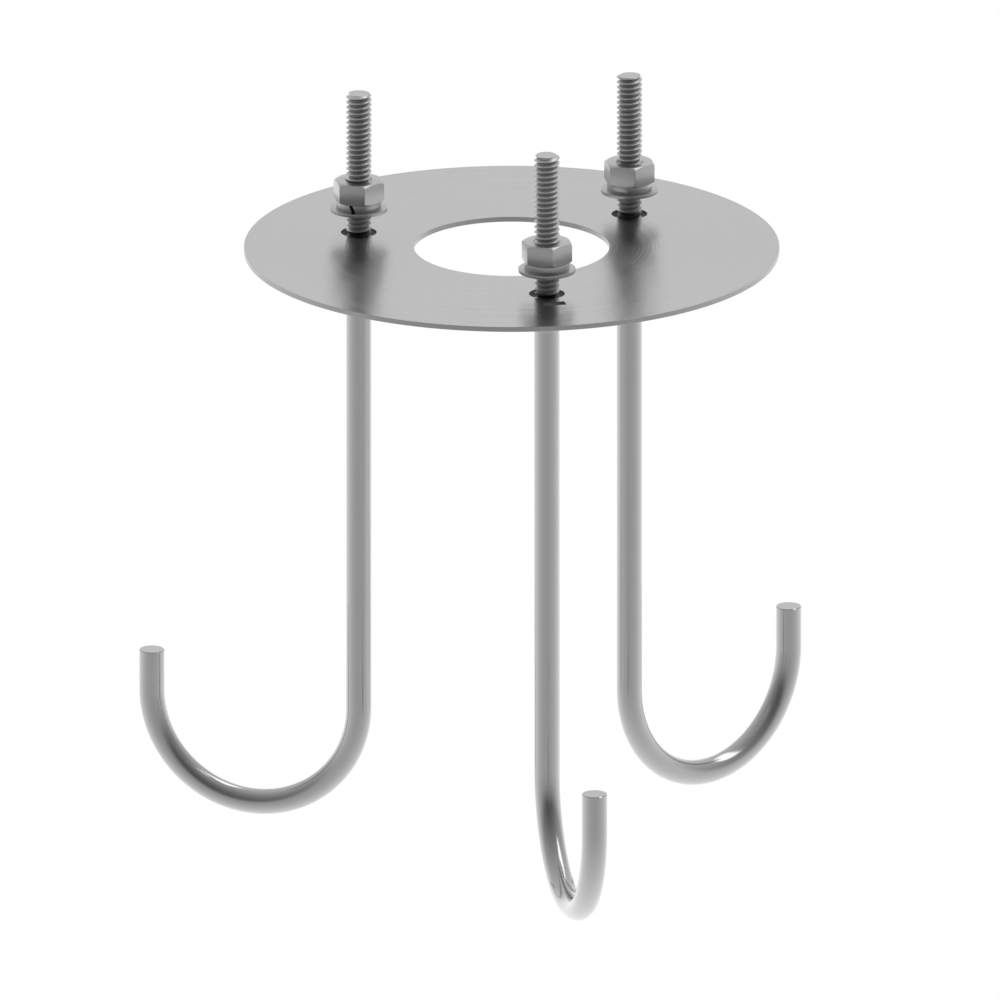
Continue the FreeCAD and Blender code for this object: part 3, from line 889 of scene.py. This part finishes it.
for name, direction in STATIONS.items():
    upper = hex_nut(f"upper_hex_nut_{name}", f"upper_nut_{name}", direction)
    claim(upper, f"nut_{name}", f"upper_nut_{name}", nut_steel)
    lower = hex_nut(f"lower_hex_nut_{name}", f"lower_nut_{name}", direction)
    claim(lower, f"hook_{name}", f"lower_nut_{name}", nut_steel)

# %% [markdown]
# ## The washers
#
# Both washers are a small section carried round the axis. The flat washer's section is closed on
# itself after a full turn. The split washer stops short of it: its two ends are the flat sides
# of one leaning saw cut, so the angle where each point of the section starts depends on its
# height and its distance from the axis.

# %% Washer section
SECTION_STEPS = 5  # points on each rounded corner


def rounded_section(inner, outer, low, high, soft):
    """Closed section (r, z) of a washer: a rectangle whose corners are quarter circles."""
    quarter = np.linspace(0, math.pi / 2, SECTION_STEPS)
    turn = quarter + np.arange(4)[:, None] * math.pi / 2
    middle_r = np.array([outer - soft, inner + soft, inner + soft, outer - soft])[:, None]
    middle_z = np.array([high - soft, high - soft, low + soft, low + soft])[:, None]
    r, z = (middle_r + soft * np.cos(turn)).ravel(), (middle_z + soft * np.sin(turn)).ravel()
    return np.append(r, r[0]), np.append(z, z[0])


# %% Washer pieces
FLAT_BORE, FLAT_SOFT = 5.25 * MM, 0.1 * MM  # radii of the bore and of the rounded edges
SPRING_RADIUS, SPRING_BORE, SPRING_SOFT = 8.85 * MM, 5.2 * MM, 0.12 * MM
SPLIT_HALF = 0.75 * MM  # half the width of the saw cut
SPLIT_LEAN = 0.6 * MM  # how far the cut moves sideways from mid height to either face
WASHER_POINTS = 120  # points round a washer


def flat_washer(name, direction):
    """Section carried a full turn: P = (r cos a, r sin a, z)."""
    low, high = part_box(f"flat_washer_{name}")
    outer = (high.x - low.x) / 2
    r, z = rounded_section(FLAT_BORE, outer, low.z, high.z, FLAT_SOFT)
    angle = np.linspace(0, 2 * math.pi, WASHER_POINTS, endpoint=False)
    points = round_axis(r[:, None], angle, z[:, None])
    faces = grid_faces(*points.shape[:2], joined=True)
    return make_piece(f"wide_washer_{name}", [(points, faces)], direction)


def split_washer(name, direction):
    """Section carried from one side of the saw cut to the other; a cut's angle is arcsin(x / r)."""
    low, high = (corner.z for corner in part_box(f"spring_washer_{name}"))
    r, z = rounded_section(SPRING_BORE, SPRING_RADIUS, low, high, SPRING_SOFT)
    middle = SPLIT_LEAN * (2 * (z - low) / (high - low) - 1)
    start = math.pi / 2 + np.arcsin((SPLIT_HALF - middle) / r)
    stop = math.pi / 2 + 2 * math.pi - np.arcsin((SPLIT_HALF + middle) / r)
    share = np.linspace(0, 1, WASHER_POINTS)
    angle = start[:, None] + (stop - start)[:, None] * share
    points = round_axis(r[:, None], angle, z[:, None])
    parts = [(points, grid_faces(*points.shape[:2]))]
    parts += [(end, np.arange(len(end))[None, :]) for end in (points[:-1, 0], points[:-1, -1])]
    return make_piece(f"split_washer_{name}", parts, direction)


for name, direction in STATIONS.items():
    wide = flat_washer(name, direction)
    claim(wide, f"washers_{name}", f"flat_washer_{name}", washer_steel)
    split = split_washer(name, direction)
    claim(split, f"washers_{name}", f"spring_washer_{name}", washer_steel)
